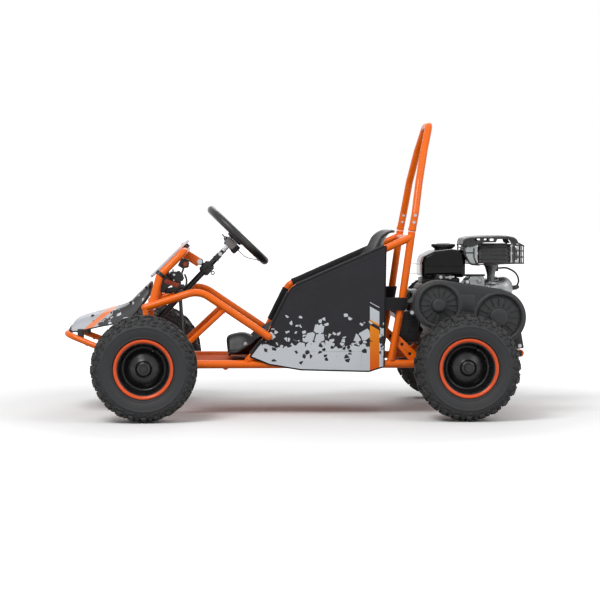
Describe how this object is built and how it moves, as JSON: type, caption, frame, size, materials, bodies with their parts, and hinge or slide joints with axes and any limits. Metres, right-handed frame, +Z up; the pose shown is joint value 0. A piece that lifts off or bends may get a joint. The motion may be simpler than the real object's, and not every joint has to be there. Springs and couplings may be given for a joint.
{
  "type": "off-road go kart",
  "caption": "Small off-road go kart: tube frame with nose fairing, bucket seat, cloth side panels, roll hoop, knobbly tyres and a rear engine with belt and chain drive.",
  "frame": {"origin": "on the ground, in the middle of the kart's length and width", "axes": "+Z up, -X towards the nose, -Y towards the driver's left, the side that the picture shows"},
  "size_m": [1.488, 0.877, 0.9367],
  "materials": {
    "orange_paint": "semi-gloss",
    "black_gloss_paint": "gloss",
    "black_steel": "satin",
    "tyre_rubber": "matte",
    "black_plastic": "matte",
    "grey_fabric": "woven",
    "fairing_plastic": "semi-gloss",
    "white_plate": "semi-gloss",
    "bare_steel": "brushed",
    "cast_alloy": "cast",
    "tank_gloss": "gloss",
    "soft_grip": "matte"
  },
  "bodies": {
    "chassis": {"lower_frame": "orange_paint", "front_axle_beam": "orange_paint", "dash_hoop": "orange_paint", "seat_back_frame": "orange_paint", "roll_hoop": "orange_paint", "floor_pan": "orange_paint", "engine_plate": "orange_paint", "knee_tube_left": "orange_paint", "knee_tube_right": "orange_paint", "seat_tube_left": "orange_paint", "seat_tube_right": "orange_paint", "kingpin_left": "orange_paint", "kingpin_right": "orange_paint", "axle_bearing_left": "cast_alloy", "axle_bearing_right": "cast_alloy", "nose_fairing": "fairing_plastic", "front_plate": "white_plate", "bucket_seat": "black_plastic", "dash_switch_box": "black_plastic", "column_clamp": "black_steel", "side_panel_left": "grey_fabric", "side_panel_right": "grey_fabric", "engine_block": "cast_alloy", "fuel_tank": "tank_gloss", "muffler": "cast_alloy", "muffler_guard": "black_steel", "recoil_starter": "black_plastic", "air_cleaner": "black_plastic", "cooling_shroud": "bare_steel", "drive_belt": "soft_grip", "drive_chain": "bare_steel", "belt_back_plate": "cast_alloy", "belt_cover": "black_plastic", "brake_caliper": "cast_alloy", "plug_lead": "soft_grip"},
    "steering": {"steering_column": "black_steel", "steering_hub": "cast_alloy", "steering_wheel": "soft_grip", "switch_wire": "soft_grip"},
    "switch_lever": {"switch_lever": "black_plastic"},
    "knuckle_left": {"knuckle_left": "black_steel"},
    "knuckle_right": {"knuckle_right": "black_steel"},
    "tie_rod_left": {"tie_rod_left": "bare_steel"},
    "tie_rod_right": {"tie_rod_right": "bare_steel"},
    "wheel_front_left": {"rim_front_left": "black_gloss_paint", "tyre_front_left": "tyre_rubber"},
    "wheel_front_right": {"rim_front_right": "black_gloss_paint", "tyre_front_right": "tyre_rubber"},
    "rear_axle": {"rear_axle": "bare_steel", "axle_sprocket": "bare_steel", "brake_disc": "bare_steel", "rim_rear_left": "black_gloss_paint", "rim_rear_right": "black_gloss_paint", "tyre_rear_left": "tyre_rubber", "tyre_rear_right": "tyre_rubber"},
    "jackshaft": {"driven_pulley": "bare_steel"},
    "crankshaft": {"drive_pulley": "bare_steel"},
    "brake_pedal": {"brake_pedal": "black_steel"},
    "throttle_pedal": {"throttle_pedal": "black_steel"},
    "tank_cap": {"tank_cap": "black_plastic"}
  },
  "joints": [
    {"name": "steering_turn", "type": "hinge", "parent": "chassis", "child": "steering", "pos_m": [-0.18902, 0, 0.569], "axis": [0.6909, 0, 0.723], "range_deg": [-40, 40]},
    {"name": "knuckle_left_turn", "type": "hinge", "parent": "chassis", "child": "knuckle_left", "pos_m": [-0.48002, -0.25, 0.165], "axis": [0, 0, 1], "range_deg": [-26.8, 26.8]},
    {"name": "knuckle_right_turn", "type": "hinge", "parent": "chassis", "child": "knuckle_right", "pos_m": [-0.48002, 0.25, 0.165], "axis": [0, 0, 1], "range_deg": [-26.8, 26.8]},
    {"name": "tie_rod_left_turn", "type": "hinge", "parent": "knuckle_left", "child": "tie_rod_left", "pos_m": [-0.41602, -0.247, 0.2297], "axis": [0, 0, 1], "range_deg": [-26.8, 26.8]},
    {"name": "tie_rod_right_turn", "type": "hinge", "parent": "knuckle_right", "child": "tie_rod_right", "pos_m": [-0.41602, 0.247, 0.2297], "axis": [0, 0, 1], "range_deg": [-26.8, 26.8]},
    {"name": "wheel_front_left_spin", "type": "hinge", "parent": "knuckle_left", "child": "wheel_front_left", "pos_m": [-0.48002, -0.375, 0.165], "axis": [0, 1, 0], "continuous": true},
    {"name": "wheel_front_right_spin", "type": "hinge", "parent": "knuckle_right", "child": "wheel_front_right", "pos_m": [-0.48002, 0.375, 0.165], "axis": [0, 1, 0], "continuous": true},
    {"name": "rear_axle_spin", "type": "hinge", "parent": "chassis", "child": "rear_axle", "pos_m": [0.51598, 0, 0.165], "axis": [0, 1, 0], "continuous": true},
    {"name": "jackshaft_spin", "type": "hinge", "parent": "chassis", "child": "jackshaft", "pos_m": [0.62698, -0.2, 0.314], "axis": [0, 1, 0], "continuous": true},
    {"name": "crankshaft_spin", "type": "hinge", "parent": "chassis", "child": "crankshaft", "pos_m": [0.43798, -0.2, 0.353], "axis": [0, 1, 0], "continuous": true},
    {"name": "brake_pedal_push", "type": "hinge", "parent": "chassis", "child": "brake_pedal", "pos_m": [-0.37002, -0.07, 0.21], "axis": [0, 1, 0], "range_deg": [-14, 0], "stiffness_Nm_per_rad": 6, "springref_deg": 3.44},
    {"name": "throttle_pedal_push", "type": "hinge", "parent": "chassis", "child": "throttle_pedal", "pos_m": [-0.37002, 0.07, 0.21], "axis": [0, 1, 0], "range_deg": [-14, 0], "stiffness_Nm_per_rad": 6, "springref_deg": 3.44},
    {"name": "switch_lever_tip", "type": "hinge", "parent": "steering", "child": "switch_lever", "pos_m": [-0.23091, 0, 0.56062], "axis": [0, 1, 0], "range_deg": [-15, 15]},
    {"name": "tank_cap_turn", "type": "hinge", "parent": "chassis", "child": "tank_cap", "pos_m": [0.47998, -0.028, 0.5313], "axis": [0, 0, 1], "range_deg": [0, 90]}
  ],
  "couplings": [
    {"joint": "knuckle_left_turn", "follows": "steering_turn", "ratio": 0.67},
    {"joint": "knuckle_right_turn", "follows": "steering_turn", "ratio": 0.67},
    {"joint": "tie_rod_left_turn", "follows": "steering_turn", "ratio": -0.67},
    {"joint": "tie_rod_right_turn", "follows": "steering_turn", "ratio": -0.67},
    {"joint": "jackshaft_spin", "follows": "rear_axle_spin", "ratio": 3.1667},
    {"joint": "crankshaft_spin", "follows": "rear_axle_spin", "ratio": 4.9259}
  ]
}
